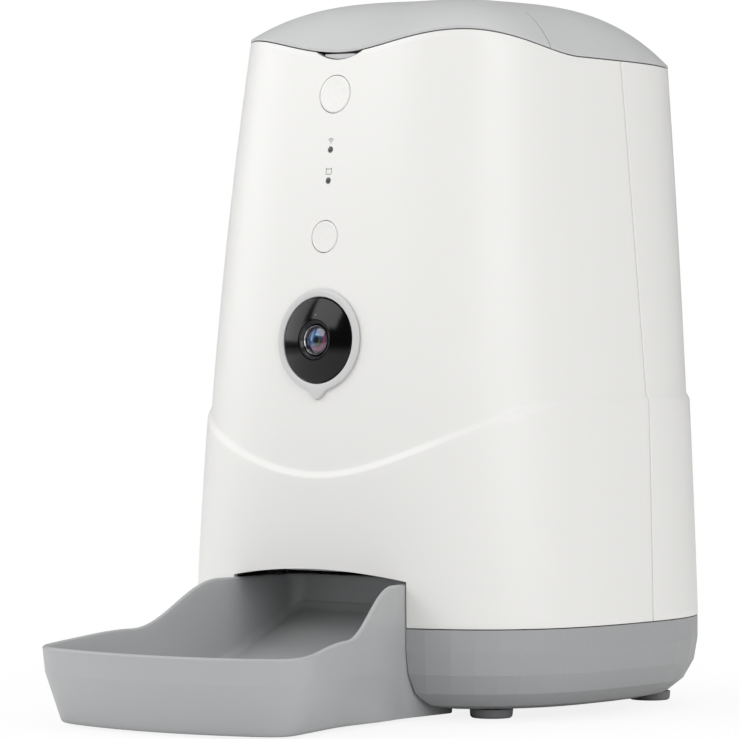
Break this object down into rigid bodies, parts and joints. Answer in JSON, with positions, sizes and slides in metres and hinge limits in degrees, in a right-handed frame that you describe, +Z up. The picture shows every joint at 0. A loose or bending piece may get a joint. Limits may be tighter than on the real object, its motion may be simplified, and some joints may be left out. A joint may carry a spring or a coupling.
{
  "type": "automatic pet feeder with camera",
  "caption": "Free-standing automatic pet feeder: waved white housing, domed lid, camera in the front, feed buttons and a food tray that slides out.",
  "frame": {"origin": "on the floor, under the middle of the outline that the housing and the tray make together", "axes": "+Z up, the tray and the camera face -Y, and +X is to the right as seen from the front"},
  "size_m": [0.2044, 0.315, 0.3049],
  "materials": {
    "white_plastic": "satin moulded",
    "lid_grey": "satin moulded",
    "base_grey": "satin moulded",
    "tray_grey": "satin moulded",
    "bezel_grey": "satin silver",
    "dark_plastic": "matt black",
    "gloss_black": "gloss black",
    "lens_glass": "coated glass",
    "hopper_plastic": "smoke grey, smooth",
    "foot_rubber": "matt",
    "silicone": "soft, pale",
    "gear_plastic": "natural",
    "steel": "plain",
    "circuit_board": "solder mask",
    "light_pipe": "translucent"
  },
  "bodies": {
    "housing": {"front_shell": "white_plastic", "rear_shell": "white_plastic", "base_housing": "base_grey", "foot_front_left": "foot_rubber", "foot_front_right": "foot_rubber", "foot_rear_left": "foot_rubber", "foot_rear_right": "foot_rubber", "battery_box": "dark_plastic", "battery_contact_front": "steel", "battery_contact_rear": "steel", "tray_guide": "dark_plastic", "lid_rear_cap": "lid_grey", "hinge_pin": "steel", "fill_deck": "white_plastic", "hopper": "hopper_plastic", "dispenser_plate": "white_plastic", "plate_screw_1": "steel", "plate_screw_2": "steel", "plate_screw_3": "steel", "plate_screw_4": "steel", "portion_baffle": "hopper_plastic", "gear_plate": "base_grey", "motor": "steel", "outlet_chute": "hopper_plastic", "camera_bezel": "bezel_grey", "camera_window": "gloss_black", "lens_ring": "gloss_black", "camera_lens": "lens_glass", "camera_module": "dark_plastic", "camera_board": "circuit_board", "feed_switch": "dark_plastic", "settings_switch": "dark_plastic", "network_light": "light_pipe", "food_light": "light_pipe", "button_board": "circuit_board", "main_board": "circuit_board", "speaker": "dark_plastic", "power_socket": "dark_plastic"},
    "lid": {"lid_flap": "lid_grey", "lid_liner": "lid_grey", "lid_seal": "silicone", "desiccant_box": "lid_grey", "latch_spring": "steel"},
    "latch": {"latch_button": "lid_grey"},
    "sachet_cover": {"desiccant_cover": "lid_grey"},
    "feed_key": {"feed_button": "white_plastic"},
    "settings_key": {"settings_button": "white_plastic"},
    "tray": {"food_tray": "tray_grey"},
    "dispenser": {"portion_wheel": "gear_plastic", "wheel_shaft": "steel", "drive_gear": "gear_plastic"},
    "pinion": {"motor_pinion": "gear_plastic"},
    "battery_cover": {"battery_door": "base_grey"}
  },
  "joints": [
    {"name": "lid_hinge", "type": "hinge", "parent": "housing", "child": "lid", "pos_m": [0, 0.04681, 0.30153], "axis": [-1, 0, 0], "range_deg": [0, 85]},
    {"name": "latch_press", "type": "slide", "parent": "lid", "child": "latch", "axis": [0, 1, 0], "range_m": [0, 0.002], "stiffness_N_per_m": 500, "springref_m": -0.001, "deforming": ["latch_spring"]},
    {"name": "sachet_cover_hinge", "type": "hinge", "parent": "lid", "child": "sachet_cover", "pos_m": [0, 0.02911, 0.2702], "axis": [1, 0, 0], "range_deg": [0, 80]},
    {"name": "feed_press", "type": "slide", "parent": "housing", "child": "feed_key", "axis": [0, 0.9902, -0.1394], "range_m": [0, 0.0008], "stiffness_N_per_m": 1200, "springref_m": -0.0003},
    {"name": "settings_press", "type": "slide", "parent": "housing", "child": "settings_key", "axis": [0, 0.9955, -0.0945], "range_m": [0, 0.0008], "stiffness_N_per_m": 1200, "springref_m": -0.0003},
    {"name": "tray_slide", "type": "slide", "parent": "housing", "child": "tray", "axis": [0, -1, 0], "range_m": [0, 0.11]},
    {"name": "wheel_turn", "type": "hinge", "parent": "housing", "child": "dispenser", "pos_m": [0, 0.05081, 0.1], "axis": [0, 0, 1], "continuous": true},
    {"name": "pinion_turn", "type": "hinge", "parent": "housing", "child": "pinion", "pos_m": [0, 0.07281, 0.086], "axis": [0, 0, 1], "continuous": true},
    {"name": "battery_door_slide", "type": "slide", "parent": "housing", "child": "battery_cover", "axis": [0, 1, 0], "range_m": [0, 0.04]}
  ],
  "couplings": [
    {"joint": "pinion_turn", "follows": "wheel_turn", "ratio": -3}
  ]
}
